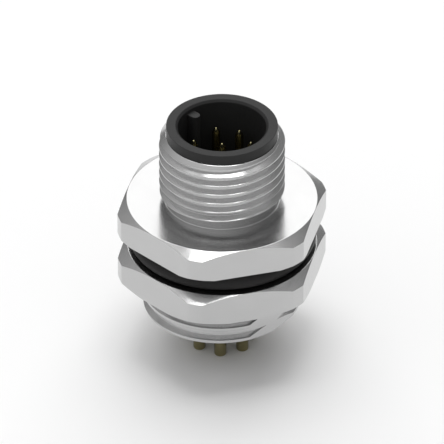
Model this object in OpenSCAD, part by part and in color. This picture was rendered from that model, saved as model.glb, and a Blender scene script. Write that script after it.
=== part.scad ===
// Panel-mount circular connector: a male M12 x 1 receptacle with eight contacts and the A key.
// The origin is on the connector's axis at the tips of the solder tails.
// +Z points out of the mating face, and the coding key is on the +Y side.
// Threads are plain cylinders at their major diameter.

/* [Front sleeve] */
// Major diameter of the coupling thread
front_thread_d = 12; // [11.6:0.1:13]
// Height of the metal sleeve above the flange
sleeve_h = 7.25; // [6:0.25:10]
// Height of the lead-in cone at the sleeve's end
sleeve_lead_h = 0.5; // [0.2:0.1:1]
// How far the lead-in cone comes in from the thread's crest
sleeve_lead = 0.55; // [0.2:0.05:0.65]
// Height of the plain neck between the thread and the flange
neck_h = 1.1; // [0.5:0.1:2]
// How far the neck is turned down from the thread's crest
neck_depth = 0.55; // [0.2:0.05:0.65]

/* [Hexagon] */
// Width across the flats of the flange and the nut
across_flats = 18.3; // [17.6:0.1:20]
// Diameter of the bar that the hexagon's corners are turned to
corner_d = 20.35; // [20:0.05:20.8]
// Diameter where the top chamfer of the flange and of the nut begins
face_d = 18.2; // [17:0.1:18.8]
// Slope of the chamfers at the hexagon's corners
chamfer_angle = 30; // [15:1:40]
// Thickness of the flange
flange_h = 3; // [2:0.1:5]
// Diameter where the chamfer on the flange's underside begins
flange_back_d = 19.4; // [19:0.1:19.9]

/* [Rear thread] */
// Major diameter of the rear thread
rear_thread_d = 15.2; // [14.8:0.1:16]
// Length of the rear body below the flange
rear_h = 9.05; // [8:0.05:14]
// Chamfer at the end of the rear thread
rear_chamfer = 0.2; // [0.1:0.05:0.4]
// How far the flat is cut in from the thread's crest
flat_depth = 0.55; // [0.3:0.05:0.8]
// Angle from the point opposite the key to the middle of the flat
flat_turn = -3; // [-10:1:10]
// Height of the neck that the panel seal sits on
seal_neck_h = 1.95; // [1.5:0.05:2.5]
// How far the seal's neck is turned down from the thread's crest
seal_neck_depth = 0.5; // [0.3:0.05:0.8]

/* [Nut and panel seal] */
// Thickness of the hexagon nut
nut_h = 3.2; // [2:0.1:4]
// Diameter where the chamfer on the nut's underside begins
nut_back_d = 18.6; // [18.5:0.1:19.9]
// Countersink at both ends of the nut's bore
nut_countersink = 0.4; // [0.1:0.05:0.6]
// Running clearance between the rear thread and the nut's bore, on the radius
nut_fit = 0.05; // [0.02:0.01:0.1]
// Thickness of the panel seal's cord
seal_cord = 2; // [1.6:0.1:2.4]
// How far the flange flattens the panel seal
seal_squeeze = 0.06; // [0.02:0.01:0.15]
// Gap between the panel seal and the nut as delivered
nut_gap = 0.1; // [0.05:0.05:0.5]

/* [Contact carrier] */
// Diameter of the carrier's body inside the sleeve
carrier_d = 9.6; // [9.3:0.1:9.8]
// Diameter of the rim that covers the sleeve's end
rim_d = 10.62; // [10.3:0.02:10.8]
// Height of the rim
rim_h = 1.05; // [0.6:0.05:1.5]
// Chamfer round the rim's outer edge
rim_edge = 0.08; // [0.02:0.02:0.2]
// Diameter of the cup that the mating plug enters
cup_d = 8.4; // [8.2:0.1:8.6]
// Depth of the cup from the rim
cup_depth = 8.1; // [7:0.1:9]
// Chamfer round the cup's mouth
mouth_chamfer = 0.22; // [0.05:0.01:0.4]
// Width of the coding key
key_w = 0.95; // [0.6:0.05:1.3]
// How far the key stands in from the cup's wall
key_reach = 1.1; // [0.8:0.05:1.2]
// Depth of the key's top below the rim
key_drop = 0.55; // [0.3:0.05:3]
// Clearance between a plastic piece and the metal round it, on the radius
plastic_fit = 0.05; // [0.02:0.01:0.1]

/* [Carrier seal] */
// Thickness of the carrier seal's cord
inner_seal_cord = 1; // [0.8:0.05:1.1]
// Radial depth of the carrier seal's groove
inner_groove_depth = 0.75; // [0.6:0.05:0.85]
// Height of the carrier seal's groove
inner_groove_h = 1.3; // [1.2:0.05:1.5]
// Height of the groove above the carrier's back
inner_groove_up = 1.5; // [0.6:0.1:2]

/* [Contact retainer] */
// Diameter of the cavity in the rear body
cavity_d = 12.2; // [11.6:0.1:12.6]
// Depth of the cavity from the rear end
cavity_depth = 8.15; // [7:0.05:9]
// Chamfer at the cavity's mouth
cavity_chamfer = 0.25; // [0.1:0.05:0.4]
// How far the retainer lies inside the rear end
retainer_recess = 1.15; // [0.3:0.05:2]
// Height that the snap bead stands out of the retainer
snap_bead = 0.2; // [0.1:0.02:0.3]
// Width of the snap bead along the axis
snap_bead_h = 0.8; // [0.4:0.1:1.5]
// Height of the snap bead above the retainer's back
snap_bead_up = 2; // [1:0.1:4]

/* [Contacts] */
// Number of contacts on the ring, besides the one in the middle
ring_contacts = 7; // [4:1:7]
// Diameter of the contact ring
contact_ring_d = 5.5; // [5.2:0.05:5.6]
// Angle from the key to the contact on each side of it
key_contact_angle = 33.5; // [30:0.5:36]
// Diameter of a contact pin
pin_d = 0.8; // [0.6:0.01:1]
// Length of a contact pin above the cup's floor
pin_reach = 6; // [4:0.1:7]
// Diameter of a contact's collar
collar_d = 1.6; // [1.4:0.05:1.9]
// Thickness of a contact's collar
collar_h = 0.7; // [0.4:0.1:1.2]
// Diameter of a solder tail
tail_d = 1.2; // [0.8:0.05:1.3]
// Length of the solder tails below the rear end
tail_drop = 4.45; // [2:0.05:8]
// Radius round the end of a solder tail
tail_round = 0.2; // [0.05:0.05:0.35]
// Clearance round a contact in its plastic, on the radius
contact_fit = 0.02; // [0.01:0.01:0.05]

/* [Hidden] */
$fn = 96;
bite = 1; // how far a cutter runs past the face it opens

// Heights along the axis
rear_z = tail_drop;
flange_z = rear_z + rear_h;
flange_top_z = flange_z + flange_h;
sleeve_top_z = flange_top_z + sleeve_h;
rim_top_z = sleeve_top_z + rim_h;
cup_floor_z = rim_top_z - cup_depth;
shoulder_z = rear_z + cavity_depth;
retainer_z = rear_z + retainer_recess;
bead_z = retainer_z + snap_bead_up;
groove_z = shoulder_z + inner_groove_up;
seal_z = flange_z - seal_cord / 2 + seal_squeeze;
nut_z = flange_z - seal_cord + seal_squeeze - nut_gap - nut_h;
collar_z = shoulder_z - collar_h;
pin_tip_z = cup_floor_z + pin_reach;

// Radii
front_r = front_thread_d / 2;
rear_r = rear_thread_d / 2;
flat_r = rear_r - flat_depth;
seal_neck_r = rear_r - seal_neck_depth;
carrier_r = carrier_d / 2;
carrier_bore_r = carrier_r + plastic_fit;
cup_r = cup_d / 2;
rim_r = rim_d / 2;
cavity_r = cavity_d / 2;
retainer_r = cavity_r - plastic_fit;
groove_r = carrier_r - inner_groove_depth;
pin_r = pin_d / 2;
collar_r = collar_d / 2;
tail_r = tail_d / 2;

// Angles and places of the contacts, counted from the key; the last one is in the middle
key_angle = 90;
contact_step = (360 - 2 * key_contact_angle) / (ring_contacts - 1);
function contact_place(i) =
    i == ring_contacts ? [0, 0] :
    let (turn = key_angle + key_contact_angle + i * contact_step)
    contact_ring_d / 2 * [cos(turn), sin(turn)];

// The height that a corner chamfer takes between two radii
function chamfer_fall(outer_r, inner_r) = (outer_r - inner_r) * tan(chamfer_angle);

// A hexagon with a corner towards the key, its corners turned round and chamfered at both ends
module hexagon(h, back_d) {
    corner_r = corner_d / 2;
    intersection() {
        rotate(key_angle) cylinder(d = across_flats / cos(30), h = h, $fn = 6);
        rotate_extrude() polygon([
            [0, 0], [back_d / 2, 0],
            [corner_r, chamfer_fall(corner_r, back_d / 2)],
            [corner_r, h - chamfer_fall(corner_r, face_d / 2)],
            [face_d / 2, h], [0, h]
        ]);
    }
}

// The turned outline of the rear body: end chamfer, thread and the neck for the seal
module rear_body() {
    rotate_extrude() polygon([
        [0, rear_z], [rear_r - rear_chamfer, rear_z], [rear_r, rear_z + rear_chamfer],
        [rear_r, flange_z - seal_neck_h], [seal_neck_r, flange_z - seal_neck_h + seal_neck_depth],
        [seal_neck_r, flange_z + bite], [0, flange_z + bite]
    ]);
}

// The turned outline of the front sleeve: neck, thread and lead-in cone
module front_sleeve() {
    rotate_extrude() polygon([
        [0, flange_top_z - bite], [front_r - neck_depth, flange_top_z - bite],
        [front_r - neck_depth, flange_top_z + neck_h - neck_depth], [front_r, flange_top_z + neck_h],
        [front_r, sleeve_top_z - sleeve_lead_h], [front_r - sleeve_lead, sleeve_top_z],
        [0, sleeve_top_z]
    ]);
}

// The bores inside the housing: cavity with its snap groove, and the carrier's bore
module housing_bores() {
    rotate_extrude() polygon([
        [0, rear_z - bite], [cavity_r + cavity_chamfer, rear_z - bite],
        [cavity_r + cavity_chamfer, rear_z], [cavity_r, rear_z + cavity_chamfer],
        [cavity_r, shoulder_z], [0, shoulder_z]
    ]);
    translate([0, 0, bead_z - plastic_fit])
        cylinder(r = cavity_r + snap_bead, h = snap_bead_h + 2 * plastic_fit);
    translate([0, 0, shoulder_z - bite])
        cylinder(r = carrier_bore_r, h = sleeve_top_z - shoulder_z + 2 * bite);
}

// The flat that keeps the connector from turning in its panel
module anti_turn_flat() {
    rotate(key_angle + 180 + flat_turn)
        translate([flat_r, -rear_r, rear_z - bite])
            cube([rear_r, 2 * rear_r, rear_h + bite]);
}

// Turned and milled brass body: sleeve, hexagon flange and rear thread in one piece
module housing() {
    color("silver") difference() {
        union() {
            difference() {
                rear_body();
                anti_turn_flat();
            }
            translate([0, 0, flange_z]) hexagon(flange_h, flange_back_d);
            front_sleeve();
        }
        housing_bores();
    }
}

// The cup that the plug enters, with its chamfered mouth
module cup() {
    rotate_extrude() polygon([
        [0, cup_floor_z], [cup_r, cup_floor_z], [cup_r, rim_top_z - mouth_chamfer],
        [cup_r + mouth_chamfer, rim_top_z], [cup_r + mouth_chamfer, rim_top_z + bite],
        [0, rim_top_z + bite]
    ]);
}

// The coding key: a rib down the cup's wall with a round inner edge
module coding_key() {
    wall_r = (cup_r + carrier_r) / 2;
    nose_r = cup_r - key_reach + key_w / 2;
    rotate(key_angle) translate([0, 0, cup_floor_z - bite / 2])
        linear_extrude(rim_top_z - key_drop - cup_floor_z + bite / 2) intersection() {
            circle(r = wall_r);
            union() {
                translate([nose_r, 0]) circle(d = key_w);
                translate([nose_r, -key_w / 2]) square([wall_r, key_w]);
            }
        }
}

// Every contact's hole, round a contact of the given radius
module contact_holes(r, low_z, high_z) {
    for (i = [0 : ring_contacts]) translate(contact_place(i)) translate([0, 0, low_z])
        cylinder(r = r + contact_fit, h = high_z - low_z);
}

// Moulded insert: rim, liner, keyed cup and the solid body that holds the pins
module contact_carrier() {
    color([0.1, 0.1, 0.1]) difference() {
        union() {
            difference() {
                rotate_extrude() polygon([
                    [0, shoulder_z], [carrier_r, shoulder_z], [carrier_r, sleeve_top_z],
                    [rim_r, sleeve_top_z], [rim_r, rim_top_z - rim_edge],
                    [rim_r - rim_edge, rim_top_z], [0, rim_top_z]
                ]);
                cup();
            }
            coding_key();
        }
        contact_holes(pin_r, shoulder_z - bite, cup_floor_z + bite);
        translate([0, 0, groove_z]) difference() {
            cylinder(r = carrier_r + bite, h = inner_groove_h);
            translate([0, 0, -bite]) cylinder(r = groove_r, h = inner_groove_h + 2 * bite);
        }
    }
}

// A ring of round cord, flattened where it bears on the neck inside it, the wall round it and the face over it
module seal_ring(cord, inner_r, outer_r, squeeze) {
    rotate_extrude() intersection() {
        translate([inner_r + cord / 2 - squeeze, 0]) circle(d = cord);
        translate([inner_r, -cord]) square([outer_r - inner_r, 1.5 * cord - squeeze]);
    }
}

// Seal between the carrier and the housing
module carrier_seal() {
    squeeze = (inner_seal_cord - inner_groove_depth - plastic_fit) / 2;
    color([0.13, 0.13, 0.13])
        translate([0, 0, groove_z + inner_seal_cord / 2])
            seal_ring(inner_seal_cord, groove_r, carrier_bore_r, squeeze);
}

// Seal between the flange and the panel
module panel_seal() {
    color([0.13, 0.13, 0.13]) translate([0, 0, seal_z])
        seal_ring(seal_cord, seal_neck_r, seal_neck_r + seal_cord, seal_squeeze);
}

// Disc that snaps into the rear body and traps the contacts' collars against the carrier
module contact_retainer() {
    color([0.16, 0.16, 0.17]) difference() {
        union() {
            translate([0, 0, retainer_z]) cylinder(r = retainer_r, h = shoulder_z - retainer_z);
            translate([0, 0, bead_z]) cylinder(r = retainer_r + snap_bead, h = snap_bead_h);
        }
        contact_holes(tail_r, retainer_z - bite, collar_z);
        contact_holes(collar_r, collar_z - contact_fit, shoulder_z + bite);
    }
}

// One turned contact: domed pin, collar, and solder tail with a rounded end
module contact(i) {
    color([0.8, 0.68, 0.35]) translate(contact_place(i)) rotate_extrude() {
        translate([0, collar_z]) square([pin_r, pin_tip_z - pin_r - collar_z]);
        translate([0, pin_tip_z - pin_r]) intersection() {
            circle(r = pin_r);
            square(pin_r);
        }
        translate([0, collar_z]) square([collar_r, collar_h]);
        translate([0, tail_round]) square([tail_r, collar_z - tail_round + collar_h / 2]);
        square([tail_r - tail_round, tail_round]);
        translate([tail_r - tail_round, tail_round]) intersection() {
            circle(r = tail_round);
            translate([0, -tail_round]) square(tail_round);
        }
    }
}

// Hexagon nut that clamps the panel against the seal
module hex_nut() {
    bore_r = rear_r + nut_fit;
    color("silver") translate([0, 0, nut_z]) difference() {
        hexagon(nut_h, nut_back_d);
        rotate_extrude() polygon([
            [0, -bite], [bore_r + nut_countersink, -bite], [bore_r + nut_countersink, 0],
            [bore_r, nut_countersink], [bore_r, nut_h - nut_countersink],
            [bore_r + nut_countersink, nut_h], [bore_r + nut_countersink, nut_h + bite],
            [0, nut_h + bite]
        ]);
    }
}

housing();
contact_carrier();
carrier_seal();
contact_retainer();
panel_seal();
hex_nut();
for (i = [0 : ring_contacts])
    contact(i);
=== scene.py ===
"""Looks of a panel-mount circular connector: plated brass, plastic, rubber and gold contacts."""

import logging
import math
from dataclasses import dataclass, field, replace
from enum import Enum
from typing import Any, Iterable, Sequence

import bmesh
import bpy
from mathutils import Matrix, Vector


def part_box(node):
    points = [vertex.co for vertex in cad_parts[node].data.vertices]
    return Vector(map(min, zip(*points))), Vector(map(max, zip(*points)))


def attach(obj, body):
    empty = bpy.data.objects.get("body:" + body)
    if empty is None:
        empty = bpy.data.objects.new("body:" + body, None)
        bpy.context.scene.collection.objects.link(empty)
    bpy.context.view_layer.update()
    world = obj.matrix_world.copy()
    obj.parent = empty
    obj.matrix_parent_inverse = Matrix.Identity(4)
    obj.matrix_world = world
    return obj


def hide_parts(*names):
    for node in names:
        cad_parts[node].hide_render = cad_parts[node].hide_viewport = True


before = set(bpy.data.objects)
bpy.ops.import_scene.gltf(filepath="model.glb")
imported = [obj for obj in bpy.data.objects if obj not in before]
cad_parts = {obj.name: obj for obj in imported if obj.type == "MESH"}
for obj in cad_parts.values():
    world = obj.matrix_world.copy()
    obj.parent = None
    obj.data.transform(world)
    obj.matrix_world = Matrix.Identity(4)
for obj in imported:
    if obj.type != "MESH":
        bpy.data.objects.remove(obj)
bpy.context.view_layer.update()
LOG = logging.getLogger("connector")
MM = 0.001
UP = Vector((0.0, 0.0, 1.0))
# The coding key points this way round the axis, and so does a corner of each hexagon.
KEY_ANGLE = math.radians(90.0)

# A face whose normal is this near to the axis was faced off square, and is shaded flat.
FACED_OFF = 0.9999
# An edge shorter than this is a sliver that a cut or a turn has left.
SLIVER_MM = 0.001
# Points nearer than this are one point.
SAME_POINT_MM = 0.0001
# How far a cutter runs past the face that it opens
BITE_MM = 1.0
# Faces that meet at more than this many degrees keep a crisp edge: on cut metal, and on the rest.
METAL_CREASE = 22.0
SOFT_CREASE = 40.0

# Radius and height of a point of an outline, in millimetres
Station = tuple[float, float]
Tree = bpy.types.NodeTree
Socket = bpy.types.NodeSocket


class Body(Enum):
    """The rigid bodies that the pieces ride on."""

    CONNECTOR = "connector_body"
    NUT = "nut"


class Slot(Enum):
    """Names for the material slots of the four finishes; no piece is given one in this script."""

    BRASS = "plated_brass"
    PLASTIC = "black_plastic"
    RUBBER = "seal_rubber"
    GOLD = "contact_gold"


class Cut(Enum):
    """What one solid does to another."""

    JOIN = "UNION"
    REMOVE = "DIFFERENCE"
    KEEP_SHARED = "INTERSECT"


def linear(hex_colour: str) -> tuple[float, float, float, float]:
    """Turn an sRGB colour such as #c0c0c0 into a linear one.

    Args:
        hex_colour: The colour as a hash sign and six digits.

    Returns:
        Red, green, blue and an alpha of one.
    """
    parts = [int(hex_colour[i : i + 2], 16) / 255.0 for i in (1, 3, 5)]
    red, green, blue = [c / 12.92 if c <= 0.04045 else ((c + 0.055) / 1.055) ** 2.4 for c in parts]
    return red, green, blue, 1.0


def add_node(
    tree: Tree,
    kind: str,
    settings: dict[str, Any] | None = None,
    inputs: dict[str | int, Any] | None = None,
) -> bpy.types.Node:
    """Add a shader node with its settings, and set or link its inputs.

    Args:
        tree: The node tree that takes the node.
        kind: The node's type, such as ShaderNodeMath.
        settings: Properties of the node itself.
        inputs: A value or an output socket for each input, by name or by number.

    Returns:
        The new node.
    """
    node = tree.nodes.new(kind)
    for name, value in (settings or {}).items():
        setattr(node, name, value)
    for key, value in (inputs or {}).items():
        socket = node.inputs[key]
        if isinstance(value, Socket):
            tree.links.new(value, socket)
        else:
            socket.default_value = value
    return node


def new_material(name: str) -> tuple[bpy.types.Material, Tree, bpy.types.Node]:
    """Start a node material.

    Args:
        name: The material's name.

    Returns:
        The material, its node tree and its output node.
    """
    material = bpy.data.materials.new(name)
    material.use_nodes = True
    tree = material.node_tree
    tree.nodes.clear()
    return material, tree, add_node(tree, "ShaderNodeOutputMaterial")


def place_on_piece(tree: Tree) -> Socket:
    """Return where each point of the piece lies, in its own metres."""
    return add_node(tree, "ShaderNodeTexCoord").outputs["Object"]


def noise(tree: Tree, place: Socket, size_mm: float, detail: float = 2.0) -> Socket:
    """Add noise whose patches have a real size.

    Args:
        tree: The material's node tree.
        place: Where each point of the piece lies, as a vector.
        size_mm: How wide a patch is.
        detail: How many finer layers lie over it.

    Returns:
        The noise, from zero to one.
    """
    inputs = {"Vector": place, "Scale": 1.0 / (size_mm * MM), "Detail": detail}
    return add_node(tree, "ShaderNodeTexNoise", inputs=inputs).outputs["Fac"]


def two_tone(tree: Tree, factor: Socket, first: str, second: str) -> Socket:
    """Mix two hex colours, and return the colour: the first where the factor is zero."""
    inputs = {"Factor": factor, "A": linear(first), "B": linear(second)}
    return add_node(tree, "ShaderNodeMix", {"data_type": "RGBA"}, inputs).outputs["Result"]


def spread(
    tree: Tree, value: Socket, middle: float, change: float, span: tuple[float, float] = (0.0, 1.0)
) -> Socket:
    """Turn noise into a roughness.

    Args:
        tree: The material's node tree.
        value: The noise.
        middle: The roughness half way.
        change: Roughest less smoothest.
        span: The part of the noise's range that is used.

    Returns:
        The roughness.
    """
    inputs = {
        "Value": value,
        "From Min": span[0],
        "From Max": span[1],
        "To Min": middle - change / 2.0,
        "To Max": middle + change / 2.0,
    }
    return add_node(tree, "ShaderNodeMapRange", inputs=inputs).outputs["Result"]


def relief(tree: Tree, height: Socket, depth_mm: float, strength: float) -> Socket:
    """Return the normal of a surface that noise makes uneven by a real depth."""
    inputs = {"Height": height, "Distance": depth_mm * MM, "Strength": strength}
    return add_node(tree, "ShaderNodeBump", inputs=inputs).outputs["Normal"]


def surface(tree: Tree, output: bpy.types.Node, inputs: dict[str | int, Any]) -> None:
    """Join a principled surface with these inputs to a material's output."""
    shader = add_node(tree, "ShaderNodeBsdfPrincipled", inputs=inputs)
    tree.links.new(shader.outputs[0], output.inputs["Surface"])


def round_the_axis(tree: Tree, place: Socket) -> Socket:
    """Turn a place into its distance from the Z axis and its height.

    Args:
        tree: The node tree to work in.
        place: The place as a vector.

    Returns:
        A vector of radius, height and zero, for marks that a lathe leaves.
    """
    parts = add_node(tree, "ShaderNodeSeparateXYZ", inputs={0: place}).outputs
    flat = add_node(tree, "ShaderNodeCombineXYZ", inputs={0: parts["X"], 1: parts["Y"]})
    radius = add_node(tree, "ShaderNodeVectorMath", {"operation": "LENGTH"}, {0: flat.outputs[0]})
    lathe = {0: radius.outputs["Value"], 1: parts["Z"]}
    return add_node(tree, "ShaderNodeCombineXYZ", inputs=lathe).outputs[0]


@dataclass(frozen=True)
class PlatedBrass:
    """Brass turned on a lathe and nickel plated.

    It gives the eye a pale, glossy grey with soft reflections and the faint rings of a tool.
    """

    name: str = "nickel_plated_brass"
    pale: str = "#c2c2c2"
    dull: str = "#bbbbbb"
    roughness: float = 0.2
    roughness_change: float = 0.06
    # The middle of the grain's range, where nearly all of it lies
    grain_span: tuple[float, float] = (0.3, 0.7)
    cloud_mm: float = 2.5
    # Real tool marks are about 0.05 mm apart, so these are drawn three times as coarse to show.
    tool_mark_mm: float = 0.16
    tool_mark_depth_mm: float = 0.00022
    tool_mark_strength: float = 1.0
    grain_mm: float = 0.09

    def material(self) -> bpy.types.Material:
        """Build the material."""
        material, tree, output = new_material(self.name)
        place = place_on_piece(tree)
        marks = noise(tree, round_the_axis(tree, place), self.tool_mark_mm, detail=3.0)
        cloud = noise(tree, place, self.cloud_mm, detail=4.0)
        grain = noise(tree, place, self.grain_mm)
        surface(
            tree,
            output,
            {
                "Base Color": two_tone(tree, cloud, self.dull, self.pale),
                "Metallic": 1.0,
                "Roughness": spread(
                    tree, grain, self.roughness, self.roughness_change, self.grain_span
                ),
                "Normal": relief(tree, marks, self.tool_mark_depth_mm, self.tool_mark_strength),
            },
        )
        return material


@dataclass(frozen=True)
class MouldedPolyamide:
    """Glass-filled polyamide from a spark-eroded mould.

    It gives the eye a black with a fine even grain and a soft gloss.
    """

    name: str = "black_polyamide"
    colour: str = "#282828"
    pale: str = "#2f2f2f"
    roughness: float = 0.42
    roughness_change: float = 0.1
    ior: float = 1.53
    # A third of what a polished surface would give, because the fine grain scatters the rest
    sheen: float = 0.15
    grain_mm: float = 0.12
    grain_depth_mm: float = 0.004
    grain_strength: float = 0.6
    cloud_grains: float = 12.0

    def material(self) -> bpy.types.Material:
        """Build the material."""
        material, tree, output = new_material(self.name)
        place = place_on_piece(tree)
        grain = noise(tree, place, self.grain_mm, detail=3.0)
        cloud = noise(tree, place, self.grain_mm * self.cloud_grains)
        surface(
            tree,
            output,
            {
                "Base Color": two_tone(tree, cloud, self.colour, self.pale),
                "Roughness": spread(tree, grain, self.roughness, self.roughness_change),
                "IOR": self.ior,
                "Specular IOR Level": self.sheen,
                "Normal": relief(tree, grain, self.grain_depth_mm, self.grain_strength),
            },
        )
        return material


@dataclass(frozen=True)
class SealRubber:
    """Moulded nitrile rubber cord.

    It gives the eye a deep black with a smooth, faintly oily sheen.
    """

    name: str = "nitrile_rubber"
    colour: str = "#272727"
    pale: str = "#2f2e2e"
    roughness: float = 0.4
    roughness_change: float = 0.16
    ior: float = 1.52
    sheen: float = 0.06
    grain_mm: float = 0.3

    def material(self) -> bpy.types.Material:
        """Build the material."""
        material, tree, output = new_material(self.name)
        place = place_on_piece(tree)
        grain = noise(tree, place, self.grain_mm, detail=4.0)
        surface(
            tree,
            output,
            {
                "Base Color": two_tone(tree, grain, self.colour, self.pale),
                "Roughness": spread(tree, grain, self.roughness, self.roughness_change),
                "IOR": self.ior,
                "Specular IOR Level": self.sheen,
            },
        )
        return material


@dataclass(frozen=True)
class PlatedContact:
    """Turned copper alloy with a thin gold plate.

    It gives the eye a greenish yellow, satin metal with fine rings from the lathe.
    """

    name: str = "gold_plated_contact"
    bright: str = "#a19974"
    dull: str = "#8e8766"
    roughness: float = 0.16
    roughness_change: float = 0.08
    ring_mm: float = 0.12
    ring_depth_mm: float = 0.0012
    ring_strength: float = 0.8
    cloud_rings: float = 8.0

    def material(self) -> bpy.types.Material:
        """Build the material."""
        material, tree, output = new_material(self.name)
        place = place_on_piece(tree)
        height = add_node(tree, "ShaderNodeSeparateXYZ", inputs={0: place}).outputs["Z"]
        along = add_node(tree, "ShaderNodeCombineXYZ", inputs={2: height}).outputs[0]
        rings = noise(tree, along, self.ring_mm)
        cloud = noise(tree, place, self.ring_mm * self.cloud_rings)
        surface(
            tree,
            output,
            {
                "Base Color": two_tone(tree, cloud, self.dull, self.bright),
                "Metallic": 1.0,
                "Roughness": spread(tree, rings, self.roughness, self.roughness_change),
                "Normal": relief(tree, rings, self.ring_depth_mm, self.ring_strength),
            },
        )
        return material


def as_object(bm: bmesh.types.BMesh, name: str) -> bpy.types.Object:
    """Close a bmesh into an object whose faces point outwards.

    Args:
        bm: The finished bmesh, in millimetres. It is freed.
        name: The object's name.

    Returns:
        The object, at the origin.
    """
    bmesh.ops.recalc_face_normals(bm, faces=bm.faces)
    mesh = bpy.data.meshes.new(name)
    bm.to_mesh(mesh)
    bm.free()
    piece = bpy.data.objects.new(name, mesh)
    bpy.context.scene.collection.objects.link(piece)
    return piece


def chain(bm: bmesh.types.BMesh, stations: Sequence[Station], closed: bool) -> list[Any]:
    """Draw an outline in the half plane of +X and Z.

    Args:
        bm: The bmesh to draw in.
        stations: Radius and height of each point, in millimetres.
        closed: Whether the last point joins the first.

    Returns:
        The new vertices and edges.
    """
    points = [bm.verts.new((radius, 0.0, height)) for radius, height in stations]
    ends = points[1:] + points[:1] if closed else points[1:]
    lines = [bm.edges.new(pair) for pair in zip(points, ends)]
    return points + lines


def raise_up(bm: bmesh.types.BMesh, height: float) -> None:
    """Extrude a flat outline straight up into a prism."""
    prism = bmesh.ops.extrude_face_region(bm, geom=bm.faces[:])
    raised = [v for v in prism["geom"] if isinstance(v, bmesh.types.BMVert)]
    bmesh.ops.translate(bm, verts=raised, vec=UP * height)


def soften(
    bm: bmesh.types.BMesh, width: float, least_degrees: float = 25.0, segments: int = 2
) -> None:
    """Round every edge that is sharper than an angle.

    Args:
        bm: The bmesh to work on.
        width: How far the rounding reaches from the edge, in millimetres.
        least_degrees: The smallest angle between faces that counts as an edge.
        segments: Faces across the rounding.
    """
    least = math.radians(least_degrees)
    sharp = [e for e in bm.edges if e.is_manifold and e.calc_face_angle() > least]
    bmesh.ops.bevel(
        bm,
        geom=sharp,
        offset=width,
        affect="EDGES",
        segments=segments,
        profile=0.5,
        material=-1,
        clamp_overlap=False,
    )


def turned(
    name: str, stations: Sequence[Station], segments: int, rounding: float = 0.0
) -> bpy.types.Object:
    """Turn a closed outline round the Z axis, as on a lathe.

    Args:
        name: The object's name.
        stations: Radius and height of each corner, in millimetres.
        segments: Faces round the axis.
        rounding: How far each edge is rounded, in millimetres.

    Returns:
        The turned solid.
    """
    bm = bmesh.new()
    outline = chain(bm, stations, closed=True)
    bmesh.ops.spin(bm, geom=outline, axis=UP, angle=math.tau, steps=segments, use_merge=True)
    bmesh.ops.remove_doubles(bm, verts=bm.verts, dist=SAME_POINT_MM)
    bmesh.ops.delete(bm, geom=[e for e in bm.edges if not e.link_faces], context="EDGES")
    bmesh.ops.recalc_face_normals(bm, faces=bm.faces)
    if rounding:
        soften(bm, rounding)
    return as_object(bm, name)


def settle(piece: bpy.types.Object) -> None:
    """Make a piece's modifiers part of its mesh."""
    bpy.context.view_layer.update()
    evaluated = piece.evaluated_get(bpy.context.evaluated_depsgraph_get())
    finished = bpy.data.meshes.new_from_object(evaluated)
    old = piece.data
    piece.modifiers.clear()
    piece.data = finished
    bpy.data.meshes.remove(old)


def combine(piece: bpy.types.Object, cut: Cut, tool: bpy.types.Object) -> None:
    """Join, cut or limit a solid with another, which is used up.

    Args:
        piece: The solid that changes.
        cut: What the tool does to it.
        tool: The other solid.
    """
    modifier = piece.modifiers.new("combine", "BOOLEAN")
    modifier.operation = cut.value
    modifier.solver = "EXACT"
    modifier.object = tool
    settle(piece)
    mesh = tool.data
    bpy.data.objects.remove(tool)
    bpy.data.meshes.remove(mesh)


@dataclass(frozen=True)
class Thread:
    """A right-hand screw thread, in millimetres."""

    pitch: float
    crest_r: float
    root_r: float
    crest_width: float
    flank_height: float
    # Height of one crest where the thread crosses the +X side
    crest_z: float
    edge_rounding: float = 0.03
    rounding_segments: int = 3
    spare_teeth: int = 2
    steps: int = 144

    def wider(self, clearance: float) -> "Thread":
        """Return the same thread further out, for the nut that runs on it."""
        return replace(
            self,
            crest_r=self.crest_r + clearance,
            root_r=self.root_r + clearance,
            crest_width=self.crest_width + clearance,
        )

    def teeth(self, low: float, high: float) -> list[Station]:
        """List the corners of the teeth that cover a stretch of the rod.

        Args:
            low: Lowest height of the stretch.
            high: Highest height of the stretch.

        Returns:
            Each corner, from the spare teeth below to the spare teeth above.
        """
        first = math.floor((low - self.crest_z) / self.pitch) - self.spare_teeth
        last = math.ceil((high - self.crest_z) / self.pitch) + self.spare_teeth
        half_crest = self.crest_width / 2.0
        half_tooth = half_crest + self.flank_height
        corners: list[Station] = []
        for tooth in range(first, last + 1):
            middle = self.crest_z + tooth * self.pitch
            corners += [
                (self.root_r, middle - half_tooth),
                (self.crest_r, middle - half_crest),
                (self.crest_r, middle + half_crest),
                (self.root_r, middle + half_tooth),
            ]
        return corners

    def rod(self, name: str, low: float, high: float) -> bpy.types.Object:
        """Cut the thread on a rod with flat ends.

        Args:
            name: The object's name.
            low: Height of the lower end.
            high: Height of the upper end.

        Returns:
            The threaded rod. The teeth climb one pitch in a turn, so each meets the next one.
        """
        bm = bmesh.new()
        outline = chain(bm, self.teeth(low, high), closed=False)
        climb = UP * (self.pitch / self.steps)
        bmesh.ops.spin(bm, geom=outline, axis=UP, dvec=climb, angle=math.tau, steps=self.steps)
        bmesh.ops.remove_doubles(bm, verts=bm.verts, dist=SLIVER_MM)
        bmesh.ops.recalc_face_normals(bm, faces=bm.faces)
        soften(bm, self.edge_rounding, segments=self.rounding_segments)
        for height, keep_above in ((low, True), (high, False)):
            everything = bm.verts[:] + bm.edges[:] + bm.faces[:]
            bmesh.ops.bisect_plane(
                bm,
                geom=everything,
                plane_co=UP * height,
                plane_no=UP,
                clear_inner=keep_above,
                clear_outer=not keep_above,
            )
        bmesh.ops.holes_fill(bm, edges=[e for e in bm.edges if e.is_boundary], sides=0)
        return as_object(bm, name)


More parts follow.
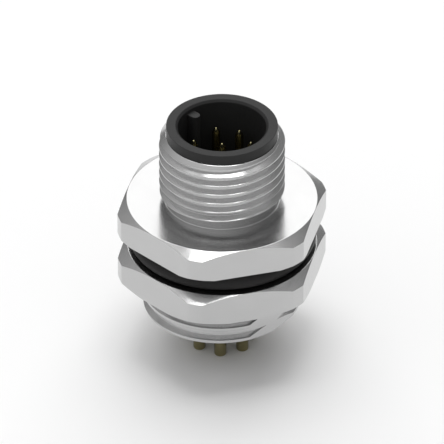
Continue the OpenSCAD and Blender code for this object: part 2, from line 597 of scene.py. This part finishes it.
def finish_faces(piece: bpy.types.Object, smooth_degrees: float) -> None:
    """Close up a piece's slivers and shade it smoothly, with flat faces flat and corners crisp.

    Args:
        piece: The piece to shade.
        smooth_degrees: Faces that meet at more than this angle keep a crisp edge.
    """
    bm = bmesh.new()
    bm.from_mesh(piece.data)
    bmesh.ops.dissolve_degenerate(bm, dist=SLIVER_MM, edges=bm.edges)
    bm.to_mesh(piece.data)
    bm.free()
    piece.data.shade_smooth()
    piece.data.set_sharp_from_angle(angle=math.radians(smooth_degrees))
    for face in piece.data.polygons:
        face.use_smooth = abs(face.normal.z) < FACED_OFF
    normals = piece.modifiers.new("normals", "WEIGHTED_NORMAL")
    normals.keep_sharp = True
    normals.weight = 100
    settle(piece)


def hand_over(
    piece: bpy.types.Object,
    nodes: Iterable[str],
    body: Body,
    material: bpy.types.Material,
) -> bpy.types.Object:
    """Give a finished piece its size in metres, its material, its body and its CAD nodes.

    Args:
        piece: The piece, modelled in millimetres.
        nodes: The CAD nodes that it replaces.
        body: The body that it moves with.
        material: Its material.

    Returns:
        The same piece.
    """
    piece.data.transform(Matrix.Scale(MM, 4))
    piece.data.materials.clear()
    piece.data.materials.append(material)
    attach(piece, body.value)
    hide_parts(*nodes)
    LOG.info("%s: %d faces", piece.name, len(piece.data.polygons))
    return piece


def low_high(node: str) -> tuple[float, float]:
    """Return a CAD node's lowest and highest point, in millimetres."""
    low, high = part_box(node)
    return low.z / MM, high.z / MM


@dataclass
class Hexagon:
    """The hexagon bar that the flange and the nut are made from."""

    across_flats: float = 18.3
    corner_d: float = 20.35
    face_d: float = 18.2
    chamfer_angle: float = math.radians(30.0)
    edge_rounding: float = 0.025
    least_corner_degrees: float = 12.0
    # The turned limits graze the flats, and points this near to each other are merged there.
    weld_mm: float = 0.004
    segments: int = 180

    def blank(self, name: str, low: float, high: float, back_d: float) -> bpy.types.Object:
        """Part a blank off the bar and chamfer its corners.

        Args:
            name: The object's name.
            low: Height of its underside.
            high: Height of its top.
            back_d: Diameter where the chamfer on the underside begins.

        Returns:
            The chamfered blank.
        """
        bm = bmesh.new()
        corner_r = self.across_flats / 2.0 / math.cos(math.pi / 6.0)
        # The circle's first corner lies on +Y, where the key is.
        base = Matrix.Translation(UP * low)
        bmesh.ops.create_circle(bm, segments=6, radius=corner_r, matrix=base, cap_ends=True)
        raise_up(bm, high - low)
        piece = as_object(bm, name)
        combine(piece, Cut.KEEP_SHARED, self.turned_limits(low, high, back_d))
        bm = bmesh.new()
        bm.from_mesh(piece.data)
        bmesh.ops.remove_doubles(bm, verts=bm.verts, dist=self.weld_mm)
        soften(bm, self.edge_rounding, self.least_corner_degrees)
        bm.to_mesh(piece.data)
        bm.free()
        return piece

    def turned_limits(self, low: float, high: float, back_d: float) -> bpy.types.Object:
        """Return what a lathe leaves of the blank: corners turned and both ends chamfered."""
        outer_r = self.corner_d / 2.0
        slope = math.tan(self.chamfer_angle)
        top_fall = (outer_r - self.face_d / 2.0) * slope
        back_fall = (outer_r - back_d / 2.0) * slope
        return turned(
            "turned_limits",
            [
                (0.0, low),
                (back_d / 2.0, low),
                (outer_r, low + back_fall),
                (outer_r, high - top_fall),
                (self.face_d / 2.0, high),
                (0.0, high),
            ],
            self.segments,
        )


@dataclass
class Housing:
    """The brass body: threaded sleeve, hexagon flange and threaded rear body in one piece."""

    hexagon: Hexagon
    front_thread: Thread
    rear_thread: Thread
    finish: bpy.types.Material
    flange_h: float = 3.0
    flange_back_d: float = 19.4
    neck_h: float = 1.1
    neck_depth: float = 0.55
    # The neck runs out at the angle of a thread's flank.
    flank_slope: float = math.tan(math.radians(30.0))
    foot_fillet: float = 0.1
    foot_steps: int = 6
    sleeve_lead: float = 0.55
    sleeve_lead_h: float = 0.5
    # The broken edge round the sleeve's end
    end_edge: float = 0.1
    end_edge_h: float = 0.05
    # How far an outline stands clear of the crests that it doesn't touch
    clear: float = 0.1
    # How far the lead's cone comes down over that clearance
    clear_fall: float = 0.11
    # How far a part reaches into the one that it is joined to
    overlap: float = 0.5
    # How far the rear outline stands below the rear face, so that the two never coincide
    skim: float = 0.01
    seal_neck_h: float = 1.95
    seal_neck_depth: float = 0.5
    rear_chamfer: float = 0.2
    flat_depth: float = 0.55
    flat_turn: float = math.radians(-3.0)
    sleeve_bore_r: float = 4.85
    cavity_r: float = 6.1
    cavity_depth: float = 8.15
    cavity_chamfer: float = 0.25
    snap_groove_r: float = 6.3
    snap_groove_up: float = 3.1
    snap_groove_h: float = 0.9
    segments: int = 180
    rear_z: float = field(init=False)
    flange_z: float = field(init=False)
    sleeve_top_z: float = field(init=False)

    def __post_init__(self) -> None:
        """Read the housing's heights from the frame."""
        self.rear_z, self.sleeve_top_z = low_high("housing")
        self.flange_z = low_high("panel_seal")[1]

    @property
    def flange_top_z(self) -> float:
        """Height of the flange's top face."""
        return self.flange_z + self.flange_h

    def sleeve(self) -> bpy.types.Object:
        """Turn the front sleeve with its neck and lead-in cone, and cut its thread."""
        crest = self.front_thread.crest_r
        neck = crest - self.neck_depth
        outer = crest + self.clear
        top = self.sleeve_top_z
        neck_top = self.flange_top_z + self.neck_h
        sunk = self.flange_top_z - self.overlap
        sleeve = self.front_thread.rod("sleeve", sunk, top)
        outline = [
            (0.0, sunk - self.overlap),
            (neck, sunk - self.overlap),
            (neck, neck_top - self.neck_depth * self.flank_slope),
            (outer, neck_top + self.clear * self.flank_slope),
            (outer, top - self.sleeve_lead_h - self.clear_fall),
            (crest, top - self.sleeve_lead_h),
            (crest - self.sleeve_lead, top - self.end_edge_h),
            (crest - self.sleeve_lead - self.end_edge, top),
            (0.0, top),
        ]
        combine(sleeve, Cut.KEEP_SHARED, turned("sleeve_outline", outline, self.segments))
        return sleeve

    def neck_foot(self) -> bpy.types.Object:
        """Turn the small fillet where the neck meets the flange."""
        neck = self.front_thread.crest_r - self.neck_depth
        inner = neck - self.neck_depth / 2.0
        base = self.flange_top_z
        foot = self.foot_fillet
        steps = range(self.foot_steps + 1)
        quarter = [math.radians(270.0 - 90.0 * i / self.foot_steps) for i in steps]
        curve = [
            (neck + foot + foot * math.cos(a), base + foot + foot * math.sin(a)) for a in quarter
        ]
        outline = [(inner, base + foot), (inner, base - foot), (neck + foot, base - foot)]
        return turned("neck_foot", outline + curve, self.segments)

    def rear_body(self) -> bpy.types.Object:
        """Turn the rear body with the seal's neck, cut its thread and mill its flat."""
        crest = self.rear_thread.crest_r
        neck = crest - self.seal_neck_depth
        outer = crest + self.clear
        shoulder = self.flange_z - self.seal_neck_h
        body = self.rear_thread.rod("rear_body", self.rear_z, self.flange_z + self.overlap)
        outline = [
            (0.0, self.rear_z - self.skim),
            (crest - self.rear_chamfer, self.rear_z - self.skim),
            (outer, self.rear_z + self.rear_chamfer + self.clear - self.skim),
            (outer, shoulder - self.clear),
            (neck, shoulder + self.seal_neck_depth),
            (neck, self.flange_z + BITE_MM),
            (0.0, self.flange_z + BITE_MM),
        ]
        combine(body, Cut.KEEP_SHARED, turned("rear_outline", outline, self.segments))
        combine(body, Cut.REMOVE, self.flat_cutter())
        return body

    def flat_cutter(self) -> bpy.types.Object:
        """Return the block that mills the anti-turn flat, up to the flange's underside."""
        bm = bmesh.new()
        crest = self.rear_thread.crest_r
        # One radius deep, wider than the body, and from below the rear face to the flange
        size = Matrix.Diagonal((crest, 3.0 * crest, self.flange_z - self.rear_z + BITE_MM, 1.0))
        height = (self.flange_z + self.rear_z - BITE_MM) / 2.0
        middle = Vector((crest - self.flat_depth + crest / 2.0, 0.0, height))
        turn = Matrix.Rotation(KEY_ANGLE + math.pi + self.flat_turn, 4, "Z")
        bmesh.ops.create_cube(bm, size=1.0, matrix=turn @ Matrix.Translation(middle) @ size)
        return as_object(bm, "flat_cutter")

    def bores(self) -> bpy.types.Object:
        """Return what fills the bores: the sleeve's bore, and the cavity with its snap groove."""
        shoulder = self.rear_z + self.cavity_depth
        mouth = self.cavity_r + self.cavity_chamfer
        groove = self.rear_z + self.snap_groove_up
        return turned(
            "bores",
            [
                (0.0, self.rear_z - BITE_MM),
                (mouth, self.rear_z - BITE_MM),
                (mouth, self.rear_z),
                (self.cavity_r, self.rear_z + self.cavity_chamfer),
                (self.cavity_r, groove),
                (self.snap_groove_r, groove),
                (self.snap_groove_r, groove + self.snap_groove_h),
                (self.cavity_r, groove + self.snap_groove_h),
                (self.cavity_r, shoulder),
                (self.sleeve_bore_r, shoulder),
                (self.sleeve_bore_r, self.sleeve_top_z + BITE_MM),
                (0.0, self.sleeve_top_z + BITE_MM),
            ],
            self.segments,
        )

    def build(self) -> bpy.types.Object:
        """Make the housing and put it in the scene."""
        piece = self.hexagon.blank(
            "housing_shell", self.flange_z, self.flange_top_z, self.flange_back_d
        )
        combine(piece, Cut.JOIN, self.sleeve())
        combine(piece, Cut.JOIN, self.neck_foot())
        combine(piece, Cut.JOIN, self.rear_body())
        combine(piece, Cut.REMOVE, self.bores())
        finish_faces(piece, METAL_CREASE)
        return hand_over(piece, ["housing"], Body.CONNECTOR, self.finish)


@dataclass
class PanelNut:
    """The hexagon nut on the rear thread."""

    hexagon: Hexagon
    thread: Thread
    finish: bpy.types.Material
    back_d: float = 18.6
    countersink: float = 0.4
    countersink_past: float = 0.2
    thread_clearance: float = 0.05
    tap_past: float = 0.5
    # How far the countersinks' waist lies inside the thread, so that it cuts nothing there
    waist_clear: float = 0.01

    def build(self) -> bpy.types.Object:
        """Make the nut and put it in the scene."""
        low, high = low_high("hex_nut")
        piece = self.hexagon.blank("panel_nut", low, high, self.back_d)
        tapped = self.thread.wider(self.thread_clearance)
        combine(piece, Cut.REMOVE, tapped.rod("tap", low - self.tap_past, high + self.tap_past))
        combine(piece, Cut.REMOVE, self.countersinks(low, high, tapped))
        finish_faces(piece, METAL_CREASE)
        return hand_over(piece, ["hex_nut"], Body.NUT, self.finish)

    def countersinks(self, low: float, high: float, tapped: Thread) -> bpy.types.Object:
        """Return the solid that opens both ends of the bore in a cone."""
        mouth = tapped.crest_r + self.countersink
        waist = tapped.root_r - self.waist_clear
        slope_h = mouth - waist
        return turned(
            "countersinks",
            [
                (0.0, low - self.countersink_past),
                (mouth, low - self.countersink_past),
                (mouth, low),
                (waist, low + slope_h),
                (waist, high - slope_h),
                (mouth, high),
                (mouth, high + self.countersink_past),
                (0.0, high + self.countersink_past),
            ],
            self.hexagon.segments,
        )


@dataclass
class ContactLayout:
    """Where the contacts stand: seven on a ring, counted from the key, and one in the middle."""

    ring_contacts: int = 7
    ring_r: float = 2.75
    key_contact_angle: float = math.radians(33.5)
    drill_segments: int = 48

    def places(self) -> list[Vector]:
        """Return the axis of each contact, from pin_1 to the one in the middle."""
        step = (math.tau - 2.0 * self.key_contact_angle) / (self.ring_contacts - 1)
        first = KEY_ANGLE + self.key_contact_angle
        turns = [first + i * step for i in range(self.ring_contacts)]
        ring = [Vector((math.cos(t), math.sin(t), 0.0)) * self.ring_r for t in turns]
        return ring + [Vector((0.0, 0.0, 0.0))]

    def drills(self, radius: float, low: float, high: float) -> bpy.types.Object:
        """Return one object with a rod at each contact's place.

        Args:
            radius: Radius of the rods.
            low: Height of their lower ends.
            high: Height of their upper ends.

        Returns:
            The rods as separate solids in one mesh.
        """
        bm = bmesh.new()
        for place in self.places():
            middle = Matrix.Translation(place + UP * (low + high) / 2.0)
            bmesh.ops.create_cone(
                bm,
                cap_ends=True,
                segments=self.drill_segments,
                radius1=radius,
                radius2=radius,
                depth=high - low,
                matrix=middle,
            )
        return as_object(bm, "drills")


@dataclass
class Carrier:
    """The moulded insert: rim, liner and keyed cup, with its body round the pins."""

    layout: ContactLayout
    finish: bpy.types.Material
    rim_h: float = 1.05
    rim_edge: float = 0.08
    body_r: float = 4.8
    cup_r: float = 4.2
    cup_depth: float = 8.1
    mouth_chamfer: float = 0.22
    key_w: float = 0.95
    key_reach: float = 1.1
    key_drop: float = 0.55
    # How far the key is sunk into the cup's floor, and how far it stays within its wall
    key_root: float = 0.3
    key_wall: float = 0.1
    key_segments: int = 32
    hole_r: float = 0.42
    seal_groove_r: float = 4.05
    seal_groove_up: float = 1.5
    seal_groove_h: float = 1.3
    edge_rounding: float = 0.05
    segments: int = 128

    def shell(self) -> bpy.types.Object:
        """Mould the round insert with its rim, its cup and the groove for its seal."""
        low, top = low_high("contact_carrier")
        rim_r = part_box("contact_carrier")[1].x / MM
        sleeve_top = top - self.rim_h
        floor = top - self.cup_depth
        groove = low + self.seal_groove_up
        return turned(
            "contact_insert",
            [
                (0.0, low),
                (self.body_r, low),
                (self.body_r, groove),
                (self.seal_groove_r, groove),
                (self.seal_groove_r, groove + self.seal_groove_h),
                (self.body_r, groove + self.seal_groove_h),
                (self.body_r, sleeve_top),
                (rim_r, sleeve_top),
                (rim_r, top),
                (self.cup_r + self.mouth_chamfer, top),
                (self.cup_r, top - self.mouth_chamfer),
                (self.cup_r, floor),
                (0.0, floor),
            ],
            self.segments,
            self.edge_rounding,
        )

    def key(self) -> bpy.types.Object:
        """Mould the coding key: a rib with a round nose, sunk into the cup's wall."""
        top = low_high("contact_carrier")[1]
        floor = top - self.cup_depth
        nose = self.cup_r - self.key_reach + self.key_w / 2.0
        bm = bmesh.new()
        half_w = self.key_w / 2.0
        foot = Matrix.Translation((nose, 0.0, floor - self.key_root))
        bmesh.ops.create_circle(
            bm, segments=self.key_segments, radius=half_w, matrix=foot, cap_ends=True
        )
        back = (self.cup_r + self.body_r) / 2.0 - self.key_wall
        for vert in bm.verts:
            if vert.co.x > nose + SAME_POINT_MM:
                off_centre = abs(vert.co.y) > SAME_POINT_MM
                vert.co.x = back
                vert.co.y = math.copysign(half_w, vert.co.y) if off_centre else 0.0
        bmesh.ops.remove_doubles(bm, verts=bm.verts, dist=SLIVER_MM)
        raise_up(bm, top - self.key_drop - floor + self.key_root)
        bmesh.ops.recalc_face_normals(bm, faces=bm.faces)
        soften(bm, self.edge_rounding, SOFT_CREASE)
        bmesh.ops.rotate(bm, verts=bm.verts, matrix=Matrix.Rotation(KEY_ANGLE, 3, "Z"))
        return as_object(bm, "coding_key")

    def build(self) -> bpy.types.Object:
        """Make the carrier and put it in the scene."""
        low, top = low_high("contact_carrier")
        piece = self.shell()
        combine(piece, Cut.JOIN, self.key())
        floor = top - self.cup_depth
        drills = self.layout.drills(self.hole_r, low - BITE_MM, floor + BITE_MM)
        combine(piece, Cut.REMOVE, drills)
        finish_faces(piece, SOFT_CREASE)
        return hand_over(piece, ["contact_carrier"], Body.CONNECTOR, self.finish)


@dataclass
class Retainer:
    """The disc at the back that holds the contacts in."""

    layout: ContactLayout
    finish: bpy.types.Material
    disc_r: float = 6.05
    bead_h: float = 0.8
    bead_up: float = 2.0
    hole_r: float = 0.62
    edge_rounding: float = 0.12
    segments: int = 128

    def build(self) -> bpy.types.Object:
        """Make the retainer and put it in the scene."""
        low, top = low_high("contact_retainer")
        bead_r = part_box("contact_retainer")[1].x / MM
        outline = [
            (0.0, low),
            (self.disc_r, low),
            (self.disc_r, low + self.bead_up),
            (bead_r, low + self.bead_up),
            (bead_r, low + self.bead_up + self.bead_h),
            (self.disc_r, low + self.bead_up + self.bead_h),
            (self.disc_r, top),
            (0.0, top),
        ]
        piece = turned("contact_retaining_disc", outline, self.segments, self.edge_rounding)
        drills = self.layout.drills(self.hole_r, low - BITE_MM, top + BITE_MM)
        combine(piece, Cut.REMOVE, drills)
        finish_faces(piece, SOFT_CREASE)
        return hand_over(piece, ["contact_retainer"], Body.CONNECTOR, self.finish)


@dataclass
class Contacts:
    """The eight turned contacts."""

    layout: ContactLayout
    finish: bpy.types.Material
    pin_r: float = 0.4
    tip_r: float = 0.14
    taper_h: float = 0.55
    collar_r: float = 0.8
    collar_h: float = 0.7
    tail_r: float = 0.6
    tail_round: float = 0.2
    round_steps: int = 5
    segments: int = 40

    def contact(
        self, name: str, place: Vector, low: float, high: float, collar_top: float
    ) -> bpy.types.Object:
        """Turn one contact with a tapered pin and a rounded tail.

        Args:
            name: The object's name.
            place: The contact's axis.
            low: Height of the tail's tip.
            high: Height of the pin's tip.
            collar_top: Height of the collar's top.

        Returns:
            The contact, in its place.
        """
        quarter = [
            math.radians(90.0 * i / self.round_steps) for i in range(self.round_steps + 1)
        ]
        tail_end = [
            (
                self.tail_r - self.tail_round + self.tail_round * math.sin(a),
                low + self.tail_round - self.tail_round * math.cos(a),
            )
            for a in quarter
        ]
        dome = [
            (self.tip_r * math.cos(a), high - self.tip_r + self.tip_r * math.sin(a))
            for a in quarter[1:]
        ]
        collar_low = collar_top - self.collar_h
        outline = (
            [(0.0, low)]
            + tail_end
            + [
                (self.tail_r, collar_low),
                (self.collar_r, collar_low),
                (self.collar_r, collar_top),
                (self.pin_r, collar_top),
                (self.pin_r, high - self.taper_h),
            ]
            + dome
        )
        piece = turned(name, outline, self.segments)
        piece.data.transform(Matrix.Translation(place))
        return piece

    def build(self) -> None:
        """Make the contacts and put them in the scene."""
        collar_top = low_high("contact_retainer")[1]
        for number, place in enumerate(self.layout.places(), start=1):
            node = f"pin_{number}"
            low, high = low_high(node)
            piece = self.contact(f"contact_{number}", place, low, high, collar_top)
            piece.data.shade_smooth()
            piece.data.set_sharp_from_angle(angle=math.radians(SOFT_CREASE))
            hand_over(piece, [node], Body.CONNECTOR, self.finish)


@dataclass
class Seals:
    """The rubber rings: the one under the flange, and the one hidden round the carrier."""

    finish: bpy.types.Material
    cord: float = 2.0
    neck_r: float = 7.1
    squeeze: float = 0.06
    cord_segments: int = 40
    segments: int = 160

    def build(self) -> bpy.types.Object:
        """Make the panel seal, flattened where it bears, and dress the hidden ring."""
        low, high = low_high("panel_seal")
        bm = bmesh.new()
        cord_r = self.cord / 2.0
        middle = Vector((self.neck_r + cord_r - self.squeeze, 0.0, low + cord_r))
        upright = Matrix.Translation(middle) @ Matrix.Rotation(math.radians(90.0), 4, "X")
        bmesh.ops.create_circle(
            bm, segments=self.cord_segments, radius=cord_r, matrix=upright
        )
        for vert in bm.verts:
            vert.co.x = max(vert.co.x, self.neck_r)
            vert.co.z = min(vert.co.z, high)
        ring = bm.verts[:] + bm.edges[:]
        bmesh.ops.spin(
            bm, geom=ring, axis=UP, angle=math.tau, steps=self.segments, use_merge=True
        )
        bmesh.ops.remove_doubles(bm, verts=bm.verts, dist=SAME_POINT_MM)
        piece = as_object(bm, "panel_seal_ring")
        piece.data.shade_smooth()
        hidden_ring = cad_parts["carrier_seal"].data
        hidden_ring.materials.clear()
        hidden_ring.materials.append(self.finish)
        return hand_over(piece, ["panel_seal"], Body.CONNECTOR, self.finish)


def direction(azimuth: float, elevation: float) -> Vector:
    """Return the unit vector that points round from +X by one angle and up by another."""
    level = math.cos(elevation)
    return Vector((level * math.cos(azimuth), level * math.sin(azimuth), math.sin(elevation)))


@dataclass(frozen=True)
class SoftBox:
    """A rectangular soft box, by how it looks from the connector."""

    name: str
    # Round to the right from straight behind the connector, as the camera sees it
    turn: float
    elevation: float
    half_width: float
    half_length: float
    # How bright it looks, where one is white
    level: float
    distance: float = 1.0


@dataclass
class Studio:
    """A white table and backdrop in soft light, seen from above through a long lens."""

    azimuth: float = math.radians(-135.5)
    elevation: float = math.radians(34.9)
    distance: float = 0.65
    frame_width_mm: float = 42.5
    aim_z_mm: float = 13.58
    sensor_mm: float = 36.0
    floor_reach: float = 3.0
    floor_colour: str = "#f4f4f4"
    floor_roughness: float = 0.9
    clip_start: float = 0.01
    clip_end: float = 20.0
    # The room is brightest over the camera's left shoulder and fades evenly from there.
    fill_turn: float = math.radians(-135.0)
    fill_elevation: float = math.radians(50.0)
    room_level: float = 0.28
    fill_level: float = 0.5
    boxes: tuple[SoftBox, ...] = (
        SoftBox(
            name="back_soft_box",
            turn=0.0,
            elevation=math.radians(54.0),
            half_width=math.radians(29.0),
            half_length=math.radians(29.0),
            level=1.62,
        ),
        SoftBox(
            name="top_soft_box",
            turn=0.0,
            elevation=math.radians(89.0),
            half_width=math.radians(14.0),
            half_length=math.radians(6.5),
            level=5.6,
        ),
    )

    def camera(self) -> None:
        """Place the camera."""
        data = bpy.data.cameras.new("camera")
        data.sensor_width = self.sensor_mm
        data.lens = self.sensor_mm * self.distance / (self.frame_width_mm * MM)
        data.clip_start = self.clip_start
        data.clip_end = self.clip_end
        camera = bpy.data.objects.new("camera", data)
        bpy.context.scene.collection.objects.link(camera)
        way = direction(self.azimuth, self.elevation)
        aim = UP * self.aim_z_mm * MM
        camera.location = aim + way * self.distance
        camera.rotation_euler = way.to_track_quat("Z", "Y").to_euler()
        bpy.context.scene.camera = camera

    def floor(self) -> None:
        """Lay the white table that the connector stands on."""
        bm = bmesh.new()
        bmesh.ops.create_grid(bm, x_segments=1, y_segments=1, size=self.floor_reach)
        mesh = bpy.data.meshes.new("table")
        bm.to_mesh(mesh)
        bm.free()
        table = bpy.data.objects.new("table", mesh)
        bpy.context.scene.collection.objects.link(table)
        material, tree, output = new_material("white_table")
        plain = {"Base Color": linear(self.floor_colour), "Roughness": self.floor_roughness}
        surface(tree, output, plain)
        mesh.materials.append(material)

    def way(self, turn: float, elevation: float) -> Vector:
        """Return a direction from the connector.

        Args:
            turn: Round to the right from straight behind the connector, as the camera sees it.
            elevation: Height above the table, as an angle.

        Returns:
            The direction as a unit vector.
        """
        return direction(self.azimuth + math.pi - turn, elevation)

    def room(self) -> None:
        """Light the scene evenly from all round, with a soft fill from the front left."""
        world = bpy.data.worlds.new("studio")
        bpy.context.scene.world = world
        world.use_nodes = True
        tree = world.node_tree
        tree.nodes.clear()
        output = add_node(tree, "ShaderNodeOutputWorld")
        seen = add_node(tree, "ShaderNodeTexCoord").outputs["Generated"]
        fill = self.way(self.fill_turn, self.fill_elevation)
        product = {"operation": "DOT_PRODUCT"}
        toward = add_node(tree, "ShaderNodeVectorMath", product, {0: seen, 1: fill})
        level = add_node(
            tree,
            "ShaderNodeMapRange",
            inputs={
                "Value": toward.outputs["Value"],
                "From Min": 0.0,
                "From Max": 1.0,
                "To Min": self.room_level,
                "To Max": self.room_level + self.fill_level,
            },
        )
        background = add_node(
            tree,
            "ShaderNodeBackground",
            inputs={"Color": (1.0, 1.0, 1.0, 1.0), "Strength": level.outputs["Result"]},
        )
        tree.links.new(background.outputs[0], output.inputs["Surface"])

    def soft_box(self, box: SoftBox) -> None:
        """Hang a soft box round the connector, pointed at it.

        Args:
            box: Its place, size and brightness.
        """
        width = 2.0 * box.distance * math.tan(box.half_width)
        length = 2.0 * box.distance * math.tan(box.half_length)
        data = bpy.data.lights.new(box.name, "AREA")
        data.shape = "RECTANGLE"
        data.size = width
        data.size_y = length
        data.energy = box.level * math.pi * width * length
        lamp = bpy.data.objects.new(box.name, data)
        bpy.context.scene.collection.objects.link(lamp)
        way = self.way(box.turn, box.elevation)
        across = UP.cross(self.way(box.turn, 0.0))
        lamp.matrix_world = Matrix.Translation(way * box.distance) @ Matrix(
            (across, way.cross(across), way)
        ).transposed().to_4x4()

    def build(self) -> None:
        """Set up the studio."""
        bpy.context.scene.view_settings.view_transform = "Standard"
        self.camera()
        self.floor()
        self.room()
        for box in self.boxes:
            self.soft_box(box)


def main() -> None:
    """Build the connector and the studio round it."""
    logging.basicConfig(level=logging.INFO, format="%(name)s %(message)s")
    brass = PlatedBrass().material()
    plastic = MouldedPolyamide().material()
    rubber = SealRubber().material()
    gold = PlatedContact().material()
    hexagon = Hexagon()
    layout = ContactLayout()
    front_thread = Thread(
        pitch=1.0, crest_r=6.0, root_r=5.46, crest_width=0.14, flank_height=0.31, crest_z=22.1
    )
    rear_thread = Thread(
        pitch=1.41, crest_r=7.6, root_r=7.07, crest_width=0.3, flank_height=0.31, crest_z=6.83
    )
    Housing(hexagon, front_thread, rear_thread, brass).build()
    PanelNut(hexagon, rear_thread, brass).build()
    Carrier(layout, plastic).build()
    Retainer(layout, plastic).build()
    Contacts(layout, gold).build()
    Seals(rubber).build()
    Studio().build()


if __name__ == "__main__":
    main()
